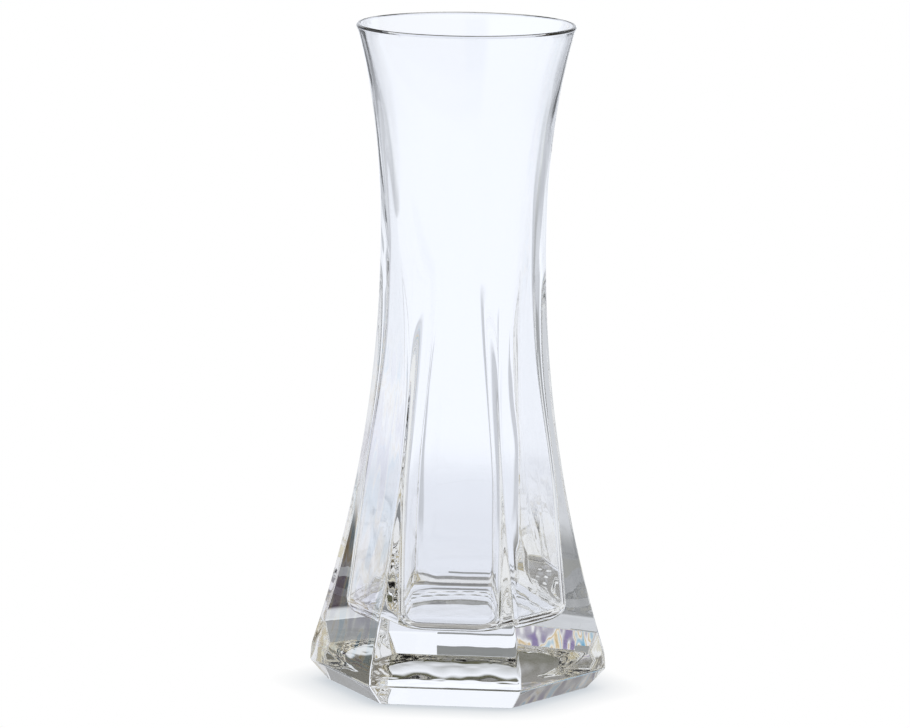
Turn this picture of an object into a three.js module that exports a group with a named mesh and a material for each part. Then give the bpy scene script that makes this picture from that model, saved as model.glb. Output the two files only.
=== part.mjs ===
// Bud vase moulded in one piece of thick clear glass.
// A six-sided foot and body soften upward into a round neck with a flared, fire-polished rim.
// Millimetres, +Z up. The origin is the centre of the ring that the foot stands on, two corners of the
// hexagon lie on the X axis and two flats face along Y.

import * as THREE from 'three';

// Overall form
const HEIGHT = 190;
const SIDES = 6;

// Foot block. A reach is the distance from the axis to a corner of the section.
const FOOT_BASE_REACH = 37;
const FOOT_REACH = 42.45;
const FOOT_WIDEST_HEIGHT = 5.9;

// Underside: a shallow round recess leaves a flat ring to stand on
const RECESS_RADIUS = 23;
const RECESS_DEPTH = 1.6;
const RECESS_SLOPE = 1.8;

// Body, from the top of the foot up to the neck, and rim flare, from the neck up
const BODY_BASE_HEIGHT = 10.5;
const BODY_FLARE = 18.56;
const NECK_HEIGHT = 127;
const NECK_REACH = 23.57;
const RIM_FLARE = 7.55;
const RIM_FLARE_POWER = 2.33;

// Corner rounding, as the share of the section that is rounded: 0 is a sharp hexagon, 1 is a circle
const FOOT_ROUNDNESS = 0.03;
const ROUNDING_START = 85;
const ROUNDING_END = 160;

// Cavity: a straight six-sided well with a rounded floor, then one even wall inside the outer skin
const FLOOR_HEIGHT = 18.8;
const FLOOR_CORNER_RADIUS = 5;
const FLOOR_ROUNDNESS = 0.55;
const WELL_APOTHEM = 23.1;
const WELL_EASING = 30;
const CAVITY_ROUNDNESS = 0.2;
const CAVITY_ROUNDING_START = 60;
const CAVITY_ROUNDING_END = 165;
const WALL = 2.6;
const WALL_THINNING = 1.3;
const THINNING_START = 150;

// Rounded lip between the outer wall and the cavity
const LIP_HEIGHT = 0.9;

// Mesh fineness
const SEGMENTS = 10 * SIDES;
const OUTER_RINGS = 19;
const CAVITY_RINGS = 15;
const LIP_RINGS = 5;
const FLOOR_RINGS = 4;

const HALF_SIDE_ANGLE = Math.PI / SIDES;

// Radius of a hexagon with rounded corners, at an angle measured from the middle of a flat.
function sectionRadius(apothem, roundness, angle) {
  const cornerRadius = roundness * apothem;
  const cornerCentre = (apothem - cornerRadius) / Math.cos(HALF_SIDE_ANGLE);
  const flatEnd = Math.atan(((apothem - cornerRadius) * Math.tan(HALF_SIDE_ANGLE)) / apothem);
  if (Math.abs(angle) <= flatEnd) {
    return apothem / Math.cos(angle);
  }
  const fromCorner = HALF_SIDE_ANGLE - Math.abs(angle);
  const across = cornerCentre * Math.sin(fromCorner);
  return cornerCentre * Math.cos(fromCorner) + Math.sqrt(cornerRadius ** 2 - across ** 2);
}

// Apothem of the section whose rounded corners are at a given reach.
function apothemFromReach(reach, roundness) {
  return reach / ((1 - roundness) / Math.cos(HALF_SIDE_ANGLE) + roundness);
}

function outerRoundness(height) {
  const softened = THREE.MathUtils.smoothstep(height, ROUNDING_START, ROUNDING_END);
  return FOOT_ROUNDNESS + (1 - FOOT_ROUNDNESS) * softened;
}

function cavityRoundness(height) {
  const softened = THREE.MathUtils.smoothstep(height, CAVITY_ROUNDING_START, CAVITY_ROUNDING_END);
  return CAVITY_ROUNDNESS + (1 - CAVITY_ROUNDNESS) * softened;
}

function bodyReach(height) {
  if (height < NECK_HEIGHT) {
    const drop = (NECK_HEIGHT - height) / (NECK_HEIGHT - BODY_BASE_HEIGHT);
    return NECK_REACH + BODY_FLARE * drop ** 2;
  }
  const rise = (height - NECK_HEIGHT) / (HEIGHT - NECK_HEIGHT);
  return NECK_REACH + RIM_FLARE * rise ** RIM_FLARE_POWER;
}

// One wall inside the outer skin, eased into the straight well below the neck.
function cavityApothem(height) {
  const wall = WALL - WALL_THINNING * THREE.MathUtils.smoothstep(height, THINNING_START, HEIGHT);
  const inside = apothemFromReach(bodyReach(height), outerRoundness(height)) - wall;
  const widest = WELL_APOTHEM + Math.max(height - NECK_HEIGHT, 0);
  return (inside ** -WELL_EASING + widest ** -WELL_EASING) ** (-1 / WELL_EASING);
}

// Each ring is a function from the angle within one side to the ring's [radius, height] there.
const round = (radius, height) => () => [radius, height];

const hexagonal = (apothem, roundness, height) => (angle) => [
  sectionRadius(apothem, roundness, angle),
  height,
];

const footRing = (reach, height) =>
  hexagonal(apothemFromReach(reach, FOOT_ROUNDNESS), FOOT_ROUNDNESS, height);

function outerRing(height) {
  const roundness = outerRoundness(height);
  return hexagonal(apothemFromReach(bodyReach(height), roundness), roundness, height);
}

function cavityRing(height) {
  return hexagonal(cavityApothem(height), cavityRoundness(height), height);
}

// The well turns into its floor on a small arc, and its corners grow rounder on the way.
function floorRing(share) {
  const turn = (Math.PI / 2) * share;
  const height = FLOOR_HEIGHT + FLOOR_CORNER_RADIUS * (1 - Math.cos(turn));
  const wellApothem = cavityApothem(FLOOR_HEIGHT + FLOOR_CORNER_RADIUS);
  const apothem = wellApothem - FLOOR_CORNER_RADIUS * (1 - Math.sin(turn));
  const roundness = FLOOR_ROUNDNESS + (CAVITY_ROUNDNESS - FLOOR_ROUNDNESS) * share;
  return hexagonal(apothem, roundness, height);
}

// A half ellipse over the top of the wall, from the outside to the inside.
function lipRing(share) {
  const outside = bodyReach(HEIGHT);
  const inside = cavityApothem(HEIGHT);
  const turn = Math.PI * share;
  const radius = (outside + inside) / 2 + ((outside - inside) / 2) * Math.cos(turn);
  return round(radius, HEIGHT - LIP_HEIGHT * (1 - Math.sin(turn)));
}

function spread(count, first, last, ring) {
  return Array.from({ length: count }, (_, i) => ring(first + ((last - first) * i) / (count - 1)));
}

// From the middle of the underside, up the outside, over the lip and down to the middle of the floor.
function vaseRings() {
  const shoulder = HEIGHT - LIP_HEIGHT;
  const wallSpacing = (shoulder - BODY_BASE_HEIGHT) / OUTER_RINGS;
  const cavityStart = FLOOR_HEIGHT + FLOOR_CORNER_RADIUS;
  return [
    round(0, RECESS_DEPTH),
    round(RECESS_RADIUS - RECESS_SLOPE, RECESS_DEPTH),
    round(RECESS_RADIUS, 0),
    footRing(FOOT_BASE_REACH, 0),
    footRing(FOOT_REACH, FOOT_WIDEST_HEIGHT),
    ...spread(OUTER_RINGS, BODY_BASE_HEIGHT, shoulder - wallSpacing, outerRing),
    ...spread(LIP_RINGS, 0, 1, lipRing),
    ...spread(CAVITY_RINGS, shoulder - wallSpacing, cavityStart + wallSpacing, cavityRing),
    ...spread(FLOOR_RINGS, 1, 0, floorRing),
    round(0, FLOOR_HEIGHT),
  ];
}

// A lathe gives the closed skin of the rings; each vertex then takes its own ring's place.
function ringsToGeometry(rings) {
  const profile = rings.map((ring) => new THREE.Vector2(...ring(HALF_SIDE_ANGLE)));
  const geometry = new THREE.LatheGeometry(profile, SEGMENTS);
  geometry.rotateX(Math.PI / 2);
  const position = geometry.getAttribute('position');
  const sideAngle = 2 * HALF_SIDE_ANGLE;
  for (let i = 0; i < position.count; i += 1) {
    const turn = (2 * Math.PI * Math.floor(i / rings.length)) / SEGMENTS;
    const fromFlat = turn - sideAngle * Math.round(turn / sideAngle);
    const [radius, height] = rings[i % rings.length](fromFlat);
    position.setXYZ(i, radius * Math.sin(turn), -radius * Math.cos(turn), height);
  }
  geometry.computeVertexNormals();
  return geometry;
}

const clearGlass = new THREE.MeshStandardMaterial({
  color: 0xe8edf7,
  roughness: 0.04,
  metalness: 0,
  transparent: true,
  opacity: 0.35,
});

const vase = new THREE.Mesh(ringsToGeometry(vaseRings()), clearGlass);
vase.name = 'glass_vase';

const budVase = new THREE.Group();
budVase.add(vase);

export default budVase;
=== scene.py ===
"""Looks of the glass bud vase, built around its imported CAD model. Blender 4.5, metres, +Z up."""

import math

import bmesh
import bpy
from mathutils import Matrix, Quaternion, Vector


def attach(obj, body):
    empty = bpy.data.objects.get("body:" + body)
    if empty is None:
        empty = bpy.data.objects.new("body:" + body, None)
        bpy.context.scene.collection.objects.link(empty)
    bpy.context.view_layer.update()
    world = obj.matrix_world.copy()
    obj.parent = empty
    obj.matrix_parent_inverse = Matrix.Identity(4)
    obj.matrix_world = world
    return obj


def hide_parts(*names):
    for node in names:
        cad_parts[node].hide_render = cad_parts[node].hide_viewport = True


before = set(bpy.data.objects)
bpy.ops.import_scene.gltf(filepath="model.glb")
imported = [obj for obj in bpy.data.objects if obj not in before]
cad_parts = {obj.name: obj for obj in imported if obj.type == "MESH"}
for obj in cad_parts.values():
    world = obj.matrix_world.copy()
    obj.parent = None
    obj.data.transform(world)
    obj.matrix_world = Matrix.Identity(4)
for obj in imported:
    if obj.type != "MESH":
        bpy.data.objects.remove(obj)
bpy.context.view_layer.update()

MM = 0.001

# ---------------------------------------------------------------- Camera

CAMERA_AZIMUTH = math.radians(5.6)
CAMERA_ELEVATION = math.radians(9.14)
CAMERA_ROLL = math.radians(0.8)
CAMERA_DISTANCE = 2.016
CAMERA_LENS_MM = 280.5
CAMERA_SENSOR_MM = 36
AIM_ASIDE = -1.9 * MM
AIM_HEIGHT = 92.7 * MM


def make_camera():
    """A long lens a little above the vase, leaning a touch as the picture does."""
    aside = Vector((math.cos(CAMERA_AZIMUTH), math.sin(CAMERA_AZIMUTH), 0))
    back = Vector(
        (
            math.sin(CAMERA_AZIMUTH) * math.cos(CAMERA_ELEVATION),
            -math.cos(CAMERA_AZIMUTH) * math.cos(CAMERA_ELEVATION),
            math.sin(CAMERA_ELEVATION),
        )
    )
    aim = aside * AIM_ASIDE + Vector((0, 0, AIM_HEIGHT))
    data = bpy.data.cameras.new("camera")
    data.lens = CAMERA_LENS_MM
    data.sensor_width = CAMERA_SENSOR_MM
    camera = bpy.data.objects.new("camera", data)
    bpy.context.scene.collection.objects.link(camera)
    camera.location = aim + back * CAMERA_DISTANCE
    camera.rotation_mode = "QUATERNION"
    upright = (-back).to_track_quat("-Z", "Y")
    camera.rotation_quaternion = upright @ Quaternion((0, 0, 1), CAMERA_ROLL)
    bpy.context.scene.camera = camera


make_camera()

# ---------------------------------------------------------------- Vase shape, in millimetres

HEIGHT = 190
SIDES = 6
HALF_SIDE = math.pi / SIDES

# A reach is the distance from the axis to a corner of the section
FOOT_BASE_REACH = 37
FOOT_REACH = 42.45
FOOT_WIDEST_HEIGHT = 5.9

# Underside: a shallow round recess inside the ring that the foot stands on
RECESS_RADIUS = 23
RECESS_DEPTH = 1.6
RECESS_SLOPE = 1.8

# Roundings of the edges, each the length that the arc takes off either side
RECESS_ROUNDING = 0.4
FOOT_BASE_ROUNDING = 0.5
FOOT_ROUNDING = 0.6
CREASE_ROUNDING = 1.5

# Body, from the crease above the foot up to the neck, and rim flare
BODY_BASE_HEIGHT = 10.5
BODY_FLARE = 18.56
NECK_HEIGHT = 127
NECK_REACH = 23.57
RIM_FLARE = 7.55
RIM_FLARE_POWER = 2.33

# Corner rounding, as the share of the section that is rounded: 0 is a sharp hexagon, 1 is a circle
FOOT_ROUNDNESS = 0.03
ROUNDING_START = 85
ROUNDING_END = 160

# Cavity
FLOOR_HEIGHT = 18.8
FLOOR_CORNER_RADIUS = 5
FLOOR_ROUNDNESS = 0.55
WALL = 2.6
WALL_THINNING = 1.3
THINNING_START = 150
CAVITY_WIDEST = 23.1
CAVITY_EASING = 30
CAVITY_ROUNDNESS = 0.2
CAVITY_ROUNDING_START = 60
CAVITY_ROUNDING_END = 165

LIP_HEIGHT = 0.9

# Dimples in the ring that the foot stands on
DIMPLES_INNER_RADIUS = 25.5
DIMPLES_OUTER_RADIUS = 31.5
DIMPLE_LENGTH = 3
DIMPLE_DEPTH = 0.16
DIMPLES_PER_SIDE = 6

# Mesh fineness, and the gaps that keep neighbouring runs of rings apart
STEPS_PER_SIDE = 48
WALL_STEPS = 90
LIP_STEPS = 15
FLOOR_STEPS = 12
ARC_STEPS = 7
DIMPLE_STEPS = 13
RECESS_RINGS = (5, 12, 18)
WELL_FLOOR_RINGS = (12, 6, 2)
CREASE_MARGIN = 2
RING_MARGIN = 1


def section_radius(apothem, roundness, angle):
    """Radius of a rounded hexagon at an angle from the middle of a flat."""
    corner_radius = roundness * apothem
    corner_centre = (apothem - corner_radius) / math.cos(HALF_SIDE)
    flat_end = math.atan((apothem - corner_radius) * math.tan(HALF_SIDE) / apothem)
    if abs(angle) <= flat_end:
        return apothem / math.cos(angle)
    from_corner = HALF_SIDE - abs(angle)
    across = corner_centre * math.sin(from_corner)
    return corner_centre * math.cos(from_corner) + math.sqrt(max(corner_radius**2 - across**2, 0))


def apothem_from_reach(reach, roundness):
    """Distance from the axis to a flat, where the rounded corners are at the given reach."""
    return reach / ((1 - roundness) / math.cos(HALF_SIDE) + roundness)


def smooth_step(value, low, high):
    share = min(max((value - low) / (high - low), 0), 1)
    return share**2 * (3 - 2 * share)


def outer_roundness(height):
    softened = smooth_step(height, ROUNDING_START, ROUNDING_END)
    return FOOT_ROUNDNESS + (1 - FOOT_ROUNDNESS) * softened


def cavity_roundness(height):
    softened = smooth_step(height, CAVITY_ROUNDING_START, CAVITY_ROUNDING_END)
    return CAVITY_ROUNDNESS + (1 - CAVITY_ROUNDNESS) * softened


def body_reach(height):
    """A parabola down to the foot, and a power curve up to the rim."""
    if height < NECK_HEIGHT:
        drop = (NECK_HEIGHT - height) / (NECK_HEIGHT - BODY_BASE_HEIGHT)
        return NECK_REACH + BODY_FLARE * drop**2
    rise = (height - NECK_HEIGHT) / (HEIGHT - NECK_HEIGHT)
    return NECK_REACH + RIM_FLARE * rise**RIM_FLARE_POWER


def cavity_apothem(height):
    """One wall inside the outer skin, eased into a straight well low in the body."""
    wall = WALL - WALL_THINNING * smooth_step(height, THINNING_START, HEIGHT)
    inside = apothem_from_reach(body_reach(height), outer_roundness(height)) - wall
    widest = CAVITY_WIDEST + max(height - NECK_HEIGHT, 0)
    return (inside**-CAVITY_EASING + widest**-CAVITY_EASING) ** (-1 / CAVITY_EASING)


def spread(count, first, last):
    """Evenly spaced values from the first to the last."""
    return [first + (last - first) * i / (count - 1) for i in range(count)]


def rounded_outline(corners):
    """A line through (reach, height, rounding) corners, each turned by a small arc."""
    line = []
    for before, corner, after in zip(corners, corners[1:], corners[2:]):
        here = Vector(corner[:2])
        back = (Vector(before[:2]) - here).normalized()
        ahead = (Vector(after[:2]) - here).normalized()
        start = here + back * corner[2]
        end = here + ahead * corner[2]
        for t in spread(ARC_STEPS, 0, 1):
            line.append(start * (1 - t) ** 2 + here * (2 * t * (1 - t)) + end * t**2)
    return line


# A ring is a function from the angle off the middle of a flat to the ring's radius and height there.
def round_ring(radius, height):
    return lambda angle: (radius, height)


def hexagonal_ring(apothem, roundness, height):
    return lambda angle: (section_radius(apothem, roundness, angle), height)


def dimpled_ring(radius):
    """Rows of small dimples in the ring that the foot stands on, every other row set half a step round."""
    row = math.floor((radius - DIMPLES_INNER_RADIUS) / DIMPLE_LENGTH)
    along = math.sin(math.pi * (radius - DIMPLES_INNER_RADIUS) / DIMPLE_LENGTH) ** 2

    def ring(angle):
        turn = math.pi * (DIMPLES_PER_SIDE * angle / (2 * HALF_SIDE) + row / 2)
        return radius, DIMPLE_DEPTH * along * math.sin(turn) ** 2

    return ring


def outer_ring(reach, height):
    roundness = outer_roundness(height)
    return hexagonal_ring(apothem_from_reach(reach, roundness), roundness, height)


def cavity_ring(height):
    return hexagonal_ring(cavity_apothem(height), cavity_roundness(height), height)


def floor_ring(share):
    """The wall turns into the floor on a small arc, and its corners grow rounder on the way."""
    turn = math.pi / 2 * share
    height = FLOOR_HEIGHT + FLOOR_CORNER_RADIUS * (1 - math.cos(turn))
    wall = cavity_apothem(FLOOR_HEIGHT + FLOOR_CORNER_RADIUS)
    apothem = wall - FLOOR_CORNER_RADIUS * (1 - math.sin(turn))
    roundness = FLOOR_ROUNDNESS + (CAVITY_ROUNDNESS - FLOOR_ROUNDNESS) * share
    return hexagonal_ring(apothem, roundness, height)


def lip_ring(share):
    """A half ellipse over the top of the wall, from the outside to the inside."""
    outside = body_reach(HEIGHT)
    inside = cavity_apothem(HEIGHT)
    turn = math.pi * share
    radius = (outside + inside) / 2 + (outside - inside) / 2 * math.cos(turn)
    return round_ring(radius, HEIGHT - LIP_HEIGHT * (1 - math.sin(turn)))


def underside_rings():
    recess = rounded_outline(
        [
            (0, RECESS_DEPTH, 0),
            (RECESS_RADIUS - RECESS_SLOPE, RECESS_DEPTH, RECESS_ROUNDING),
            (RECESS_RADIUS, 0, RECESS_ROUNDING),
            (FOOT_BASE_REACH, 0, 0),
        ]
    )
    rings = [round_ring(radius, RECESS_DEPTH) for radius in RECESS_RINGS]
    rings += [round_ring(*point) for point in recess]
    for radius in spread(DIMPLE_STEPS, DIMPLES_INNER_RADIUS, DIMPLES_OUTER_RADIUS):
        rings.append(dimpled_ring(radius))
    return rings


def foot_rings(body_start):
    foot = rounded_outline(
        [
            (DIMPLES_OUTER_RADIUS, 0, 0),
            (FOOT_BASE_REACH, 0, FOOT_BASE_ROUNDING),
            (FOOT_REACH, FOOT_WIDEST_HEIGHT, FOOT_ROUNDING),
            (body_reach(BODY_BASE_HEIGHT), BODY_BASE_HEIGHT, CREASE_ROUNDING),
            (body_reach(body_start), body_start, 0),
        ]
    )
    return [outer_ring(*point) for point in foot]


def vase_rings():
    """From the middle of the underside, up the outside, over the lip and down to the floor's middle."""
    body_start = BODY_BASE_HEIGHT + CREASE_MARGIN
    body_end = HEIGHT - LIP_HEIGHT - RING_MARGIN
    cavity_end = FLOOR_HEIGHT + FLOOR_CORNER_RADIUS + RING_MARGIN
    rings = underside_rings() + foot_rings(body_start)
    for height in spread(WALL_STEPS, body_start, body_end):
        rings.append(outer_ring(body_reach(height), height))
    rings += [lip_ring(share) for share in spread(LIP_STEPS, 0, 1)]
    rings += [cavity_ring(height) for height in spread(WALL_STEPS, body_end, cavity_end)]
    rings += [floor_ring(share) for share in spread(FLOOR_STEPS, 1, 0)]
    rings += [round_ring(radius, FLOOR_HEIGHT) for radius in WELL_FLOOR_RINGS]
    return rings


def side_angles():
    """Angles round the vase, crowded towards the six corners."""
    angles = []
    for side in range(SIDES):
        middle = 2 * HALF_SIDE * side
        for step in range(STEPS_PER_SIDE):
            share = math.sin(math.pi * (step / STEPS_PER_SIDE - 0.5))
            angles.append((middle + HALF_SIDE * share, HALF_SIDE * share))
    return angles


def skin(name, rings, low_height, high_height):
    """A closed mesh through the rings, from a middle point below to a middle point inside."""
    angles = side_angles()
    count = len(angles)
    points = [(0, 0, low_height)]
    for ring in rings:
        for turn, angle in angles:
            radius, height = ring(angle)
            points.append((radius * math.sin(turn), -radius * math.cos(turn), height))
    points.append((0, 0, high_height))
    last = len(points) - 1
    faces = []
    for i in range(count):
        j = (i + 1) % count
        faces.append((0, 1 + j, 1 + i))
        for r in range(len(rings) - 1):
            low = 1 + r * count
            high = low + count
            faces.append((low + i, low + j, high + j, high + i))
        top = 1 + (len(rings) - 1) * count
        faces.append((last, top + i, top + j))
    mesh = bpy.data.meshes.new(name)
    mesh.from_pydata([[c * MM for c in p] for p in points], [], faces)
    mesh.validate()
    mesh.update()
    mesh.shade_smooth()
    obj = bpy.data.objects.new(name, mesh)
    bpy.context.scene.collection.objects.link(obj)
    return obj


# ---------------------------------------------------------------- Material

GLASS_TINT = (0.975, 0.981, 0.995)
GLASS_IOR = 1.52
WAVE_DEPTH = 0.15 * MM
WAVE_FINENESS = 110
WAVE_DETAIL = 1
WAVE_STRETCH = 0.2
HAZE_FINENESS = 35
HAZE_DETAIL = 3
HAZE_START = 0.45
HAZE_END = 0.8
HAZE_ROUGHNESS = 0.02
FACET_WEIGHT = 100


def add(tree, kind, **values):
    """A new node of a kind, with its own settings."""
    node = tree.nodes.new(kind)
    for key, value in values.items():
        setattr(node, key, value)
    return node


def clear_glass():
    """Clear pressed glass: faint upright waves from the mould and a barely uneven fire polish."""
    material = bpy.data.materials.new("clear_glass")
    material.use_nodes = True
    tree = material.node_tree
    tree.nodes.clear()
    out = add(tree, "ShaderNodeOutputMaterial")
    glass = add(tree, "ShaderNodeBsdfPrincipled")
    tree.links.new(glass.outputs[0], out.inputs["Surface"])
    glass.inputs["Base Color"].default_value = (*GLASS_TINT, 1)
    glass.inputs["IOR"].default_value = GLASS_IOR
    glass.inputs["Transmission Weight"].default_value = 1

    place = add(tree, "ShaderNodeTexCoord").outputs["Object"]
    stretched = add(tree, "ShaderNodeMapping")
    stretched.inputs["Scale"].default_value = (1, 1, WAVE_STRETCH)
    tree.links.new(place, stretched.inputs["Vector"])
    waves = add(tree, "ShaderNodeTexNoise")
    waves.inputs["Scale"].default_value = WAVE_FINENESS
    waves.inputs["Detail"].default_value = WAVE_DETAIL
    tree.links.new(stretched.outputs[0], waves.inputs["Vector"])
    relief = add(tree, "ShaderNodeBump")
    relief.inputs["Strength"].default_value = 1
    relief.inputs["Distance"].default_value = WAVE_DEPTH
    tree.links.new(waves.outputs[0], relief.inputs["Height"])
    tree.links.new(relief.outputs[0], glass.inputs["Normal"])

    haze = add(tree, "ShaderNodeTexNoise")
    haze.inputs["Scale"].default_value = HAZE_FINENESS
    haze.inputs["Detail"].default_value = HAZE_DETAIL
    tree.links.new(place, haze.inputs["Vector"])
    polish = add(tree, "ShaderNodeMapRange")
    polish.inputs["From Min"].default_value = HAZE_START
    polish.inputs["From Max"].default_value = HAZE_END
    polish.inputs["To Max"].default_value = HAZE_ROUGHNESS
    tree.links.new(haze.outputs[0], polish.inputs["Value"])
    tree.links.new(polish.outputs[0], glass.inputs["Roughness"])
    return material


vase = skin("vase_glass", vase_rings(), RECESS_DEPTH, FLOOR_HEIGHT)
vase.data.materials.append(clear_glass())
weighted = vase.modifiers.new("flat_facets", "WEIGHTED_NORMAL")
weighted.weight = FACET_WEIGHT
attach(vase, "root")
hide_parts("glass_vase")

# ---------------------------------------------------------------- Floor, in metres

PAPER_RINGS = (0.2, 1)
FLOOR_RADIUS = 3
COVE_RADIUS = 1
COVE_STEPS = 12
WALL_HEIGHT = 3
FLOOR_TURNS = 96
SHADOW_REACH = 14 * MM
SHADOW_RAYS = 8
SHADOW_COLOUR = (0.50, 0.55, 0.60)


def mix_colours(tree, share, first, second):
    """The second colour laid over the first by the share. Each is a socket or plain numbers."""
    mix = add(tree, "ShaderNodeMix", data_type="RGBA")
    tree.links.new(share, mix.inputs["Factor"])
    # Of this node's many sockets, inputs 6 and 7 and output 2 are the colours
    for colour, socket in ((first, mix.inputs[6]), (second, mix.inputs[7])):
        if isinstance(colour, tuple):
            socket.default_value = (*colour, 1)
        else:
            tree.links.new(colour, socket)
    return mix.outputs[2]


def glowing_material(name):
    """A material that gives off its own light, with the shader still to be coloured."""
    material = bpy.data.materials.new(name)
    material.use_nodes = True
    tree = material.node_tree
    tree.nodes.clear()
    out = add(tree, "ShaderNodeOutputMaterial")
    glow = add(tree, "ShaderNodeEmission")
    tree.links.new(glow.outputs[0], out.inputs["Surface"])
    return material, glow


def floor_paper():
    """White glowing paper with a painted contact shadow: its colour darkens softly where the foot stands
    close over it.
    """
    material, glow = glowing_material("floor_paper")
    tree = material.node_tree
    # Painted contact shadow: near the foot, ambient occlusion blends the glow from white towards the shadow
    # colour.
    open_sky = add(tree, "ShaderNodeAmbientOcclusion", samples=SHADOW_RAYS)
    open_sky.inputs["Distance"].default_value = SHADOW_REACH
    shade = mix_colours(tree, open_sky.outputs["AO"], SHADOW_COLOUR, (1, 1, 1))
    tree.links.new(shade, glow.inputs["Color"])
    return material


def floor_outline():
    """Radius and height along the floor, round the cove and up the wall."""
    line = [(radius, 0) for radius in PAPER_RINGS]
    for turn in spread(COVE_STEPS + 1, 0, math.pi / 2):
        line.append((FLOOR_RADIUS + COVE_RADIUS * math.sin(turn), COVE_RADIUS * (1 - math.cos(turn))))
    line.append((FLOOR_RADIUS + COVE_RADIUS, WALL_HEIGHT))
    return line


def make_floor():
    """A wide pale floor that curves up into a low wall. The glass sees the world through it."""
    work = bmesh.new()
    rows = []
    for radius, height in floor_outline():
        row = []
        for i in range(FLOOR_TURNS):
            turn = 2 * math.pi * i / FLOOR_TURNS
            row.append(work.verts.new((radius * math.cos(turn), radius * math.sin(turn), height)))
        rows.append(row)
    work.faces.new(rows[0])
    for low, high in zip(rows, rows[1:]):
        for i in range(FLOOR_TURNS):
            j = (i + 1) % FLOOR_TURNS
            work.faces.new((high[i], high[j], low[j], low[i]))
    mesh = bpy.data.meshes.new("floor")
    work.to_mesh(mesh)
    work.free()
    mesh.shade_smooth()
    floor = bpy.data.objects.new("floor", mesh)
    bpy.context.scene.collection.objects.link(floor)
    floor.data.materials.append(floor_paper())
    floor.visible_transmission = False
    floor.visible_glossy = False
    floor.visible_diffuse = False
    floor.visible_shadow = False


make_floor()

# ---------------------------------------------------------------- Low card behind the foot

STRIP_COLOUR = (0.27, 0.28, 0.28)
STRIP_DISTANCE = 56 * MM
STRIP_LEFT = -9 * MM
STRIP_RIGHT = 30 * MM
STRIP_LOW = 0.6 * MM
STRIP_HIGH = 4 * MM


def make_strip():
    """A low grey card close behind the vase, seen only through its glass."""
    corners = [
        (STRIP_LEFT, STRIP_DISTANCE, STRIP_LOW),
        (STRIP_RIGHT, STRIP_DISTANCE, STRIP_LOW),
        (STRIP_RIGHT, STRIP_DISTANCE, STRIP_HIGH),
        (STRIP_LEFT, STRIP_DISTANCE, STRIP_HIGH),
    ]
    mesh = bpy.data.meshes.new("low_strip")
    mesh.from_pydata(corners, [], [(0, 1, 2, 3)])
    strip = bpy.data.objects.new("low_strip", mesh)
    bpy.context.scene.collection.objects.link(strip)
    strip.visible_camera = False
    strip.visible_shadow = False
    strip.visible_diffuse = False
    material, glow = glowing_material("low_strip")
    glow.inputs["Color"].default_value = (*STRIP_COLOUR, 1)
    mesh.materials.append(material)


make_strip()

# ---------------------------------------------------------------- World: soft light cards far round the vase

# A card is (azimuth, half width, edge, low, high, edge, colour) in degrees. Azimuth 0 is straight behind
# the vase from the front, and 90 is at its right. Each card lies over the ones before it.
# Not all of these numbers were chosen by hand. The cards at -105, -8, -10, 128, 104, 152, 112, -76, -52,
# 36, 43 and -20 began as the output of a search program that matched the light to the photograph. They
# were rounded and merged, and most were then changed.
AMBIENT = (0.20, 0.19, 0.17)
CARDS = [
    # Wide cards: below, at the left, behind, at the right, and the dimmer ones higher up
    (0, 180, 1, -90, -50, 8, (0.45, 0.44, 0.42)),
    (-105, 52, 8, -56, 40, 4, (0.86, 0.87, 0.87)),
    (-8, 28, 12, -48, 4, 6, (0.84, 0.87, 0.94)),
    (-10, 27, 9, -10, 45, 8, (1.00, 1.03, 1.09)),
    (128, 80, 16, -52, 5, 5, (0.84, 0.85, 0.87)),
    (104, 66, 8, 9, 38, 4, (0.46, 0.40, 0.25)),
    (152, 63, 10, 36, 55, 6, (0.68, 0.65, 0.52)),
    (112, 78, 13, 58, 90, 8, (0.50, 0.48, 0.42)),
    (-76, 118, 15, 56, 90, 8, (0.30, 0.30, 0.30)),
    # Smaller cards, most of them behind the vase, each for the tone of a few facets or of an edge
    (-47, 9, 6, -27, -8, 4, (0.60, 0.62, 0.65)),
    (-52, 8, 5, -42, -30, 3, (0.22, 0.23, 0.24)),
    (36, 10, 7, -48, -30, 4, (0.03, 0.02, 0.01)),
    (43, 12, 2, -24, 36, 5, (0.77, 0.80, 0.82)),
    (33, 13, 8, -10, 3, 4, (0.30, 0.31, 0.32)),
    (-20, 27, 5, 26, 72, 15, (0.08, 0.08, 0.04)),
    (22, 8, 5, -22, -8, 4, (0.56, 0.58, 0.62)),
    (-28, 4, 4, -22, -9, 4, (0.56, 0.58, 0.62)),
    (-26, 18, 8, -68, -51, 5, (0.18, 0.18, 0.18)),
    (31, 8, 3, 11, 19, 2, (0.09, 0.08, 0.05)),
    (76, 18, 5, 42, 60, 4, (0.13, 0.11, 0.07)),
]

# A card at the left rear with the colours that the thick glass of the foot splits out of white light
PRISM_CARD = (-44, 12, 5, -5, 8, 4)
PRISM_FINENESS = 26
PRISM_DETAIL = 1
PRISM_COLOURS = [
    (0.32, (0.22, 0.17, 0.36)),
    (0.40, (0.40, 0.38, 0.46)),
    (0.46, (0.86, 0.87, 0.88)),
    (0.50, (0.62, 0.45, 0.20)),
    (0.54, (0.86, 0.83, 0.76)),
    (0.60, (0.10, 0.38, 0.60)),
    (0.68, (0.50, 0.54, 0.60)),
]


def window(tree, value, edge_low, edge_high):
    """A soft step of a value, from 0 at one edge to 1 at the other."""
    soft = add(tree, "ShaderNodeMapRange", interpolation_type="SMOOTHSTEP")
    tree.links.new(value, soft.inputs["Value"])
    soft.inputs["From Min"].default_value = edge_low
    soft.inputs["From Max"].default_value = edge_high
    return soft.outputs[0]


def multiply(tree, a, b):
    """The product of two sockets."""
    node = add(tree, "ShaderNodeMath", operation="MULTIPLY")
    tree.links.new(a, node.inputs[0])
    tree.links.new(b, node.inputs[1])
    return node.outputs[0]


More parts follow.
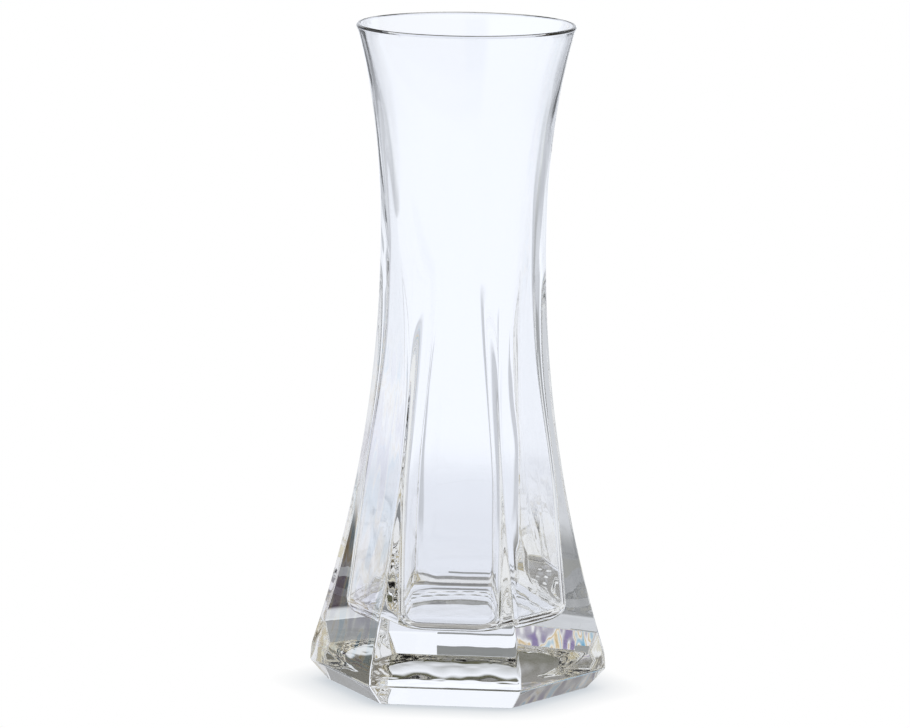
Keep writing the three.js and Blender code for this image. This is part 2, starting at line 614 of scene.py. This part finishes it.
def to_degrees(tree, operation, value):
    """The angle, in degrees, that an inverse function gives for a value."""
    angle = add(tree, "ShaderNodeMath", operation=operation)
    tree.links.new(value, angle.inputs[0])
    degrees = add(tree, "ShaderNodeMath", operation="DEGREES")
    tree.links.new(angle.outputs[0], degrees.inputs[0])
    return degrees.outputs[0]


def card_share(tree, heading, elevation, card):
    """How much of a direction the card covers, from 0 to 1."""
    azimuth, half_width, side_edge, low, high, edge = card
    turn = math.radians(azimuth)
    dot = add(tree, "ShaderNodeVectorMath", operation="DOT_PRODUCT")
    tree.links.new(heading, dot.inputs[0])
    dot.inputs[1].default_value = (math.sin(turn), math.cos(turn), 0)
    away = to_degrees(tree, "ARCCOSINE", dot.outputs["Value"])
    beside = window(tree, away, half_width + side_edge, half_width)
    above = window(tree, elevation, low - edge, low)
    below = window(tree, elevation, high + edge, high)
    return multiply(tree, multiply(tree, beside, above), below)


def prism_colours(tree, direction):
    """Patches of pale tints over the directions round the vase."""
    patches = add(tree, "ShaderNodeTexNoise")
    patches.inputs["Scale"].default_value = PRISM_FINENESS
    patches.inputs["Detail"].default_value = PRISM_DETAIL
    tree.links.new(direction, patches.inputs["Vector"])
    ramp = add(tree, "ShaderNodeValToRGB")
    while len(ramp.color_ramp.elements) < len(PRISM_COLOURS):
        ramp.color_ramp.elements.new(0.5)
    for element, (position, colour) in zip(ramp.color_ramp.elements, PRISM_COLOURS):
        element.position = position
        element.color = (*colour, 1)
    tree.links.new(patches.outputs[0], ramp.inputs[0])
    return ramp.outputs[0]


def make_world():
    """Light from all round, from the tone of the cards that lie in each direction."""
    world = bpy.data.worlds.new("studio")
    bpy.context.scene.world = world
    world.use_nodes = True
    tree = world.node_tree
    tree.nodes.clear()
    out = add(tree, "ShaderNodeOutputWorld")
    background = add(tree, "ShaderNodeBackground")
    tree.links.new(background.outputs[0], out.inputs["Surface"])
    direction = add(tree, "ShaderNodeTexCoord").outputs["Generated"]
    flat = add(tree, "ShaderNodeVectorMath", operation="MULTIPLY")
    tree.links.new(direction, flat.inputs[0])
    flat.inputs[1].default_value = (1, 1, 0)
    heading = add(tree, "ShaderNodeVectorMath", operation="NORMALIZE")
    tree.links.new(flat.outputs[0], heading.inputs[0])
    parts = add(tree, "ShaderNodeSeparateXYZ")
    tree.links.new(direction, parts.inputs[0])
    elevation = to_degrees(tree, "ARCSINE", parts.outputs["Z"])
    light = AMBIENT
    for *card, colour in CARDS:
        share = card_share(tree, heading.outputs[0], elevation, card)
        light = mix_colours(tree, share, light, colour)
    share = card_share(tree, heading.outputs[0], elevation, PRISM_CARD)
    light = mix_colours(tree, share, light, prism_colours(tree, direction))
    tree.links.new(light, background.inputs["Color"])


make_world()

# ---------------------------------------------------------------- View and light paths

LIGHT_BOUNCES = 32
MIRROR_BOUNCES = 16

scene = bpy.context.scene
scene.view_settings.view_transform = "Standard"
scene.cycles.max_bounces = LIGHT_BOUNCES
scene.cycles.transmission_bounces = LIGHT_BOUNCES
scene.cycles.glossy_bounces = MIRROR_BOUNCES
